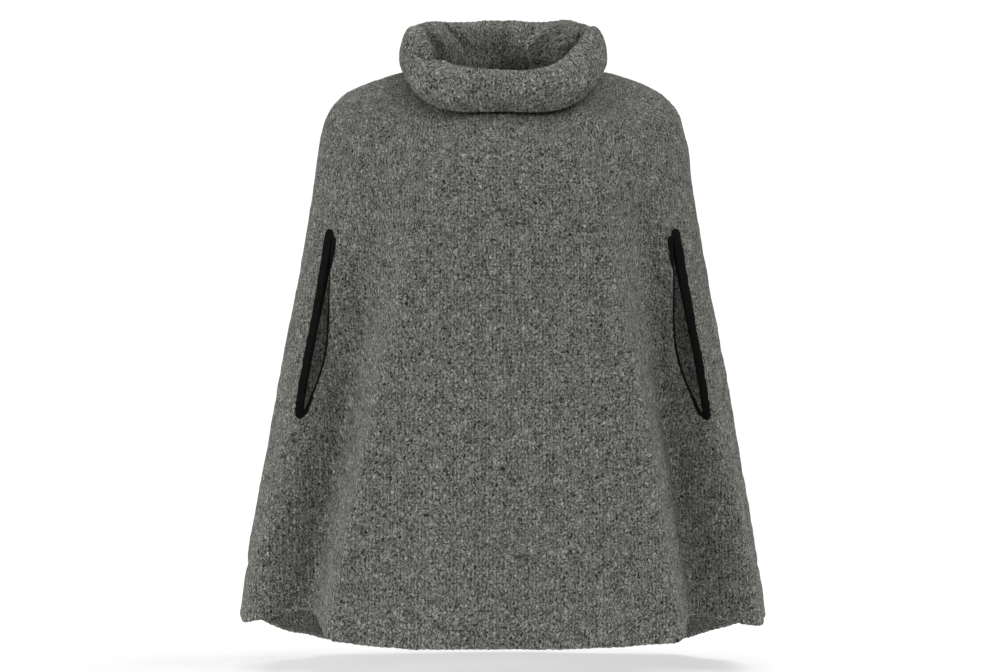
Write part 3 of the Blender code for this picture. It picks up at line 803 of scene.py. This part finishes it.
def collar_middle(angle, along):
    """The middle of the collar's cloth: from the seam, out and up by the three paths, shared out by powers
    of the angle's sine and cosine, with corners and folds added as bells."""
    seam = body_points(angle, 0.0 * angle) - body_outward(angle, 0.0 * angle) * CLOTH / 2
    knots = np.linspace(0.0, 1.0, len(COLLAR_PATH))
    columns = zip(COLLAR_COLUMNS, np.transpose(COLLAR_PATH))
    path = {name: through(knots, column, along) for name, column in columns}
    cosine, sine = np.cos(np.radians(angle)), np.sin(np.radians(angle))
    front = np.where(cosine > 0.0, 1.0 - sine**4, 0.0)
    back = np.where(cosine > 0.0, 0.0, cosine**2)
    side = 1.0 - front - back
    out = front * path["front_out"] + side * path["side_out"] + back * path["back_out"]
    up = front * path["front_up"] + side * path["side_up"] + back * path["back_up"]
    standing = ease((along - COLLAR_CORNER_FROM) / (1.0 - COLLAR_CORNER_FROM))
    at_corner = np.where(cosine > 0.0, (2.0 * sine * cosine) ** 2, 0.0)
    out = out + COLLAR_CORNER_OUT * at_corner * standing
    up = up - COLLAR_CORNER_SAG * at_corner * standing
    for row in COLLAR_FOLDS:
        fold = dict(zip(COLLAR_FOLD_COLUMNS, row))
        shape = bell(turned(angle - fold["angle"]) / fold["half_angle"])
        out = out - fold["bulge"] * shape * bell((along - COLLAR_INNER) / COLLAR_INNER_REACH)
        up = up - fold["rim_drop"] * shape * bell((along - COLLAR_RIM) / COLLAR_RIM_REACH)
    away = unit(np.stack([sine, -cosine, 0.0 * sine], axis=-1))
    points = seam + away * out[..., None]
    points[..., 2] += up
    return points


collar_angle, along = np.meshgrid(
    180.0 + np.linspace(0.0, 360.0, COLLAR_CELLS_ROUND * FINE + 1),
    np.linspace(0.0, 1.0, COLLAR_CELLS_ALONG * FINE + 1),
)
middle = collar_middle(collar_angle, along)
before, after = collar_angle - SECTION_STEP, collar_angle + SECTION_STEP
round_step = collar_middle(after, along) - collar_middle(before, along)
square = unit(np.cross(np.gradient(middle, axis=0), round_step))
in_metres = (*[COLLAR_METRES_PER_DEGREE, COLLAR_METRES_ALONG] * 2, 1.0, 1.0)
across, down = turned(collar_angle) * COLLAR_METRES_PER_DEGREE, along * COLLAR_METRES_ALONG
creased = crease_height(across, down, np.array(COLLAR_CREASES) * in_metres)
middle = middle + square * creased[..., None]
across = (collar_angle - 180.0) / 360.0 * COLLAR_WALES * WALE
down = travelled(middle, 0)
from_join = np.minimum(collar_angle - 180.0, 540.0 - collar_angle)
raised = relief(across, down, COLLAR_SEED) * (1.0 - bell(from_join / COLLAR_SEAM_HALF_ANGLE))
seam_line = bell(turned(collar_angle - 180.0) * COLLAR_METRES_PER_DEGREE / COLLAR_SEAM_HALF)
on_rim = bell((along - COLLAR_RIM) / COLLAR_SEAM_FLAT_REACH)
raised = raised - COLLAR_SEAM_DIP * seam_line * (1.0 - COLLAR_SEAM_FLAT * on_rim)
visible = middle + square * (CLOTH / 2 + raised)[..., None]
hidden = (middle - square * CLOTH / 2)[::FINE, ::FINE]
cloth = np.stack([across, down], -1)
collar = cloth_piece("collar_cloth", visible, hidden, cloth, wool, closed_round=True)
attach(collar, "root")
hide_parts("roll_collar")


# ------------------------------------------------------------------------------------ slit tapes
# Each arm slit is bound with one loop of black woven tape, folded over the edge and stitched through.
# It is wide beside the side seam and at the ends, and mostly hidden beside the centre front.

TAPE = 0.0012
TAPE_GAP = 0.0004
TAPE_LAP_SIDE, TAPE_LAP_SIDE_LOW = 0.0125, 0.0092
TAPE_LAP_FRONT = 0.0058
TAPE_LAP_END = 0.0095
TAPE_LAP_END_FRONT = 0.0035
TAPE_LAP_INSIDE = 0.0090
TAPE_LAP_LEAST = 0.0002
TAPE_CORNER_STEPS, TAPE_END_STEPS, TAPE_EDGE_STEPS = 5, 3, 9
TAPE_STEP = 0.3
LEFT_TAPE_SEED, RIGHT_TAPE_SEED = 5, 6

# The laps' rough edges: pairs of a cell along the tape and its share. Narrow laps are less rough.
TAPE_ROUGH, TAPE_ROUGH_LAP = 0.0017, 0.005
TAPE_ROUGH_CELLS = ((0.009, 0.6), (0.0035, 0.4))
# Added to the length along the tape, for each degree of its turns and where it is joined.
TURN_LENGTH, JOIN_LENGTH = 0.0001, 0.002

# The tape's section: shares of the outer lap with its crown, as shares of the tape's height, then of the
# inner lap. It bulges into the slit, and its hidden side stays a little off the cloth's edge.
OUTER_LAP_SHARES = (1.0, 0.97, 0.85, 0.6, 0.35, 0.15)
OUTER_LAP_CROWN = (0.6, 0.95, 1.1, 1.2, 1.15, 1.05)
INNER_LAP_SHARES = (0.15, 0.5, 0.85, 1.0)
TAPE_BULGE = 1.3
TAPE_OFF_EDGE = 0.0003
# Where no lap shows, this share of the tape's rise is left, and it stands further into the slit.
TAPE_RISE_LEFT, TAPE_FURTHER_IN = 0.25, 0.0006

TAPE_DARK, TAPE_LIGHT = (0.001, 0.001, 0.001, 1.0), (0.011, 0.011, 0.0115, 1.0)
TAPE_RIB, TAPE_RIB_SHARE = 0.0011, 0.6
LINT_SCALE, LINT_LOW, LINT_HIGH = 600.0, 0.3, 0.9
TAPE_BUMP = 0.0005


def tape_material():
    """Black woven tape. Its height is a rib every TAPE_RIB along it and a noise of lint, and the lint
    mixes a dark and a light black."""
    made, flat = cloth_material("black_tape")
    rib = (flat.part("X") / TAPE_RIB).wave()
    lint = flat.noise(LINT_SCALE, detail=3.0)
    inputs = {
        "Base Color": lint.clipped(LINT_LOW, LINT_HIGH).mixed(TAPE_DARK, TAPE_LIGHT),
        "Roughness": 0.9,
        "Specular IOR Level": 0.08,
        "Normal": (rib * TAPE_RIB_SHARE + lint).bump(strength=0.6, distance=TAPE_BUMP),
    }
    into_shader(made, inputs)
    return made


def tape_line():
    """The line round a slit's edge, as angles, runs and swings. It goes down beside the centre front, over
    the bottom, up beside the side seam and over the top. The swing is the angle of the direction in which
    the tape is laid onto the cloth: 0 towards the centre front, 90 down, 180 to the side, 270 up."""
    run = panel_runs()[YOKE_ROWS * FINE : (YOKE_ROWS + SLIT_ROWS) * FINE + 1]
    side_edge = slit_side_angle(run)
    front_edge = side_edge - 2.0 * slit_half_gap(run)
    gap = side_edge - front_edge
    corner = np.linspace(0.0, 90.0, TAPE_CORNER_STEPS)
    over_end = np.linspace(0.0, 1.0, TAPE_END_STEPS + 2)[1:-1]
    stretches = (
        (front_edge[1:-1], run[1:-1], 0.0),
        (front_edge[-1], run[-1], corner),
        (front_edge[-1] + gap[-1] * over_end, run[-1], 90.0),
        (side_edge[-1], run[-1], 90.0 + corner),
        (side_edge[-2:0:-1], run[-2:0:-1], 180.0),
        (side_edge[0], run[0], 180.0 + corner),
        (side_edge[0] - gap[0] * over_end, run[0], 270.0),
        (front_edge[0], run[0], 270.0 + corner),
    )
    return np.concatenate([np.broadcast_arrays(*stretch) for stretch in stretches], axis=1)


def tape_lap(angle, run, swing, shown, length, seed):
    """How far the tape reaches over the cloth: the laps beside the centre front, beside the side seam and
    past the slit's ends, weighted by the squares of the swing's cosine and sine, and made rough."""
    cosine, sine = np.cos(np.radians(swing)), np.sin(np.radians(swing))
    to_front = (slit_side_angle(run) - angle) / (2.0 * slit_half_gap(run))
    side_lap = TAPE_LAP_SIDE + (TAPE_LAP_SIDE_LOW - TAPE_LAP_SIDE) * tape_narrowing(run)
    end_lap = TAPE_LAP_END + (TAPE_LAP_END_FRONT - TAPE_LAP_END) * to_front
    lap = np.maximum(cosine, 0.0) ** 2 * TAPE_LAP_FRONT * shown + np.maximum(-cosine, 0.0) ** 2 * side_lap
    lap = lap + sine**2 * end_lap
    rough = 0.0 * length
    for place, (cell, share) in enumerate(TAPE_ROUGH_CELLS):
        rough = rough + share * lattice_noise(length, 0.0 * length, cell, seed + place)
    return np.maximum(lap + TAPE_ROUGH * rough * np.minimum(1.0, lap / TAPE_ROUGH_LAP), TAPE_LAP_LEAST)


def tape_section():
    """The tape's closed section, in columns: a share of the outer lap, a share of the inner lap, metres
    into the slit and metres out of the cloth. It comes in over the outer lap, goes round the slit's edge
    in half a circle and out along the inner lap, and returns next to the cloth."""
    height = TAPE_GAP + TAPE
    half_wall = CLOTH / 2 + height
    turn = np.radians(np.linspace(90.0, -90.0, TAPE_EDGE_STEPS))
    section = [(share, 0.0, 0.0, crown * height) for share, crown in zip(OUTER_LAP_SHARES, OUTER_LAP_CROWN)]
    round_edge = zip(height * TAPE_BULGE * np.cos(turn), -CLOTH / 2 + half_wall * np.sin(turn))
    section += [(0.0, 0.0, inward, rise) for inward, rise in round_edge]
    section += [(0.0, share, 0.0, -CLOTH - height) for share in INNER_LAP_SHARES]
    section += [(0.0, 1.0, 0.0, -CLOTH - TAPE_GAP), (0.0, 0.0, TAPE_OFF_EDGE, -CLOTH - TAPE_GAP)]
    section += [(0.0, 0.0, TAPE_OFF_EDGE, TAPE_GAP / 2), (1.0, 0.0, 0.0, TAPE_GAP / 2)]
    return np.array(section).T


def tape_piece(name, side, finish, seed):
    """A tape loop: the section is carried along the line, laid over the cloth in the swing's direction
    and joined to itself. side is 1 for the left slit and -1 for the right one."""
    angle, run, swing = tape_line()
    to_side = body_points(side * (angle + TAPE_STEP), run) - body_points(side * (angle - TAPE_STEP), run)
    downward = body_points(side * angle, run + RUN_STEP) - body_points(side * angle, run - RUN_STEP)
    per_degree = np.linalg.norm(to_side, axis=1, keepdims=True) / (2.0 * TAPE_STEP)
    per_run = np.linalg.norm(downward, axis=1, keepdims=True) / (2.0 * RUN_STEP)
    to_side, downward = unit(to_side), unit(downward)
    cosine, sine = np.cos(np.radians(swing))[:, None], np.sin(np.radians(swing))[:, None]
    into = -np.sign(np.round(cosine, 6)) * to_side + np.sign(np.round(sine, 6)) * downward
    length = travelled(body_points(side * angle, run), 0) + np.abs(swing) * TURN_LENGTH

    shown = np.where(cosine > 0.0, lap_shown(run)[:, None], 1.0)
    lap = tape_lap(angle, run, swing, shown[:, 0], length, seed)[:, None]
    outer, inner, inward, rise = tape_section()
    # Where the tape doesn't show on the wool, it ends near the middle of the cloth's edge.
    outside = (rise + CLOTH / 2) * np.minimum(TAPE_RISE_LEFT + shown, 1.0) - CLOTH / 2
    rise = np.where(rise > -CLOTH / 2, outside, rise)
    inward = inward + TAPE_FURTHER_IN * (1.0 - np.minimum(shown, 1.0)) * (rise > -CLOTH)
    away = outer * lap + inner * TAPE_LAP_INSIDE
    laid_angle = side * (angle[:, None] - cosine * away / per_degree)
    laid_run = run[:, None] + sine * away / per_run
    points = body_points(laid_angle, laid_run) + body_outward(laid_angle, laid_run) * rise[..., None]
    points = points - into[:, None] * inward[..., None]

    closed = np.concatenate([points, points[:1]])
    closed = np.concatenate([closed, closed[:, :1]], axis=1)
    place = np.arange(closed[..., 0].size).reshape(closed.shape[:2])
    faces = cells_of(place).reshape(-1, 4)
    if side < 0:
        faces = faces[:, ::-1]
    around = travelled(closed, 1)
    lengths = np.concatenate([length, [length[-1] + JOIN_LENGTH]])[:, None] + 0.0 * around
    on_cloth = np.stack([lengths, around], -1).reshape(-1, 2)
    over, up = np.linspace(0, 1, closed.shape[1]), np.linspace(0, 1, closed.shape[0])
    bake = np.stack(np.meshgrid(over, up), -1).reshape(-1, 2) * BAKE_WIDTH + BAKE_LEFT
    same = place.copy()
    same[-1] = same[0]
    same[:, -1] = same[:, 0]
    maps = {"cloth": on_cloth[faces.ravel()], "OFBake": bake[faces.ravel()]}
    return add_mesh(name, closed.reshape(-1, 3), [same.ravel()[faces]], maps, finish)


tape = tape_material()
left_tape = tape_piece("left_slit_tape", 1.0, tape, LEFT_TAPE_SEED)
right_tape = tape_piece("right_slit_tape", -1.0, tape, RIGHT_TAPE_SEED)
for made, node in ((left_tape, "slit_binding_left"), (right_tape, "slit_binding_right")):
    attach(made, "root")
    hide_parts(node)


# ------------------------------------------------------------------------ floor, light and camera
# A white table and backdrop glow a little, so that the hem's shadow stays faint, and are clear from
# behind. Of seven softboxes, the two brightest are low at the right of the front and high at the left.

FLOOR_Z = -0.768
SWEEP_HALF_WIDTH = 1.32
# The sweep's profile from the front edge of the table to the top of the backdrop, in y and z.
SWEEP = ((-5.0, FLOOR_Z), (1.2, FLOOR_Z), (1.5, FLOOR_Z + 0.08), (1.7, FLOOR_Z + 0.35), (1.75, 3.5))

# Name, the share of light that it throws back, and its glow.
PAPERS = (("table", 0.50, 0.57), ("backdrop", 0.22, 0.82))
WORLD_LIGHT = 0.05

# Each softbox: its name, its azimuth and height in degrees, and its watts. Azimuth 0 is in front and 90
# at the garment's left.
SOFTBOX_AWAY, SOFTBOX_WIDTH, SOFTBOX_AIM_Z = 4.6, 1.6, -0.35
SOFTBOXES = (
    ("softbox_front_high", 0.0, 60.0, 34.0),
    ("softbox_right_front", -60.0, 10.0, 86.0),
    ("softbox_right", -90.0, 10.0, 31.0),
    ("softbox_right_high", -90.0, 60.0, 42.0),
    ("softbox_left_front", 45.0, 35.0, 45.0),
    ("softbox_left", 90.0, 10.0, 29.0),
    ("softbox_left_high", 90.0, 60.0, 86.0),
)
INNER_LIGHT_PLACE, INNER_LIGHT_RADIUS, INNER_LIGHT_WATTS = (0.0, 0.0, -0.50), 0.06, 0.5

# The camera looks level at the front, and sees VIEW_WIDTH across at the garment's axis.
CAMERA_X, CAMERA_AWAY, CAMERA_Z = 0.0013, 4.0, -0.339
VIEW_WIDTH, SENSOR_MM = 1.3104, 36.0

sweep_points = [(x, y, z) for y, z in SWEEP for x in (-SWEEP_HALF_WIDTH, SWEEP_HALF_WIDTH)]
sweep_faces = [(2 * k, 2 * k + 1, 2 * k + 3, 2 * k + 2) for k in range(len(SWEEP) - 1)]
sweep_mesh = bpy.data.meshes.new("sweep")
sweep_mesh.from_pydata(sweep_points, [], sweep_faces)
sweep_mesh.shade_smooth()
sweep = new_object("sweep", sweep_mesh)
for name, reflected, glow in PAPERS:
    paper = bpy.data.materials.new(name)
    paper.use_nodes = True
    seen_from_behind = Wire(paper.node_tree).node("ShaderNodeNewGeometry", "Backfacing", {}, {})
    inputs = {
        "Base Color": (reflected, reflected, reflected, 1.0),
        "Roughness": 1.0,
        "Specular IOR Level": 0.0,
        "Emission Color": (1.0, 1.0, 1.0, 1.0),
        "Emission Strength": glow,
        "Alpha": 1.0 - seen_from_behind,
    }
    into_shader(paper, inputs)
    sweep_mesh.materials.append(paper)
sweep_mesh.polygons.foreach_set("material_index", [0] + [1] * (len(sweep_faces) - 1))

world = bpy.data.worlds.new("studio")
world.use_nodes = True
world.node_tree.nodes["Background"].inputs["Color"].default_value = (1.0, 1.0, 1.0, 1.0)
world.node_tree.nodes["Background"].inputs["Strength"].default_value = WORLD_LIGHT
bpy.context.scene.world = world

# The softboxes stand on a sphere round the garment and face its middle.
for name, azimuth, height, power in SOFTBOXES:
    azimuth, height = np.radians(azimuth), np.radians(height)
    light = bpy.data.lights.new(name, "AREA")
    light.size = SOFTBOX_WIDTH
    light.energy = power
    made = new_object(name, light)
    level = SOFTBOX_AWAY * np.cos(height)
    up = SOFTBOX_AWAY * np.sin(height) + SOFTBOX_AIM_Z
    made.location = (level * np.sin(azimuth), -level * np.cos(azimuth), up)
    made.rotation_euler = (np.pi / 2 - height, 0.0, azimuth)

# The knit lets some light through, which shows on the inside of the back.
inner_light = bpy.data.lights.new("inner_light", "POINT")
inner_light.shadow_soft_size = INNER_LIGHT_RADIUS
inner_light.energy = INNER_LIGHT_WATTS
new_object("inner_light", inner_light).location = INNER_LIGHT_PLACE

camera = new_object("camera", bpy.data.cameras.new("camera"))
camera.location = (CAMERA_X, -CAMERA_AWAY, CAMERA_Z)
camera.rotation_euler = (np.pi / 2, 0.0, 0.0)
camera.data.sensor_width = SENSOR_MM
camera.data.lens = SENSOR_MM * CAMERA_AWAY / VIEW_WIDTH
bpy.context.scene.camera = camera
bpy.context.scene.view_settings.view_transform = "Standard"
